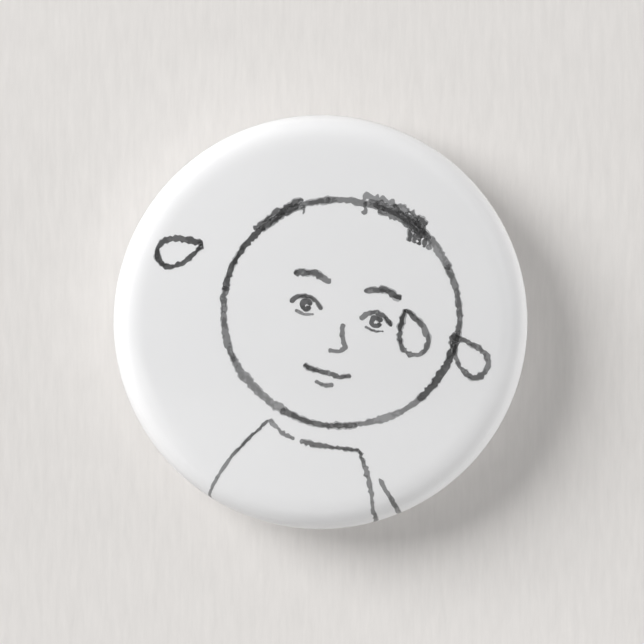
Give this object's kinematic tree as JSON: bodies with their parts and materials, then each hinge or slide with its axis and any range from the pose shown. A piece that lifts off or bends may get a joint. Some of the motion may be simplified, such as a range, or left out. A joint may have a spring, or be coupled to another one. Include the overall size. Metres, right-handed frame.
{
  "type": "button badge",
  "caption": "Round domed pin-back button badge: film-covered printed face on a steel shell, crimped steel back, spring-wire safety pin.",
  "frame": {"origin": "centre of the rear rim plane, where the badge touches the cloth", "axes": "the printed face looks towards -Y, the pin is on the +Y side, +Z is the artwork's top, and the closed pin's point is towards +X"},
  "size_m": [0.032, 0.0046, 0.032],
  "materials": {
    "film": "clear gloss polyester film",
    "printed_paper": "smooth coated white paper with grey pen artwork",
    "tinplate": "satin tinplate, stamped",
    "spring_wire": "nickel-plated drawn spring steel"
  },
  "bodies": {
    "badge": {"film_cover": "film", "printed_disc": "printed_paper", "front_shell": "tinplate", "back_plate": "tinplate", "pin_base": "spring_wire", "pin_coil": "spring_wire"},
    "pin_arm": {"pin_arm": "spring_wire"}
  },
  "joints": [
    {"name": "pin_swing", "type": "hinge", "parent": "badge", "child": "pin_arm", "pos_m": [-0.00845, -0.00204, 0], "axis": [0, 0.9781, 0.2079], "range_deg": [0, 40], "deforming": ["pin_coil"]}
  ]
}
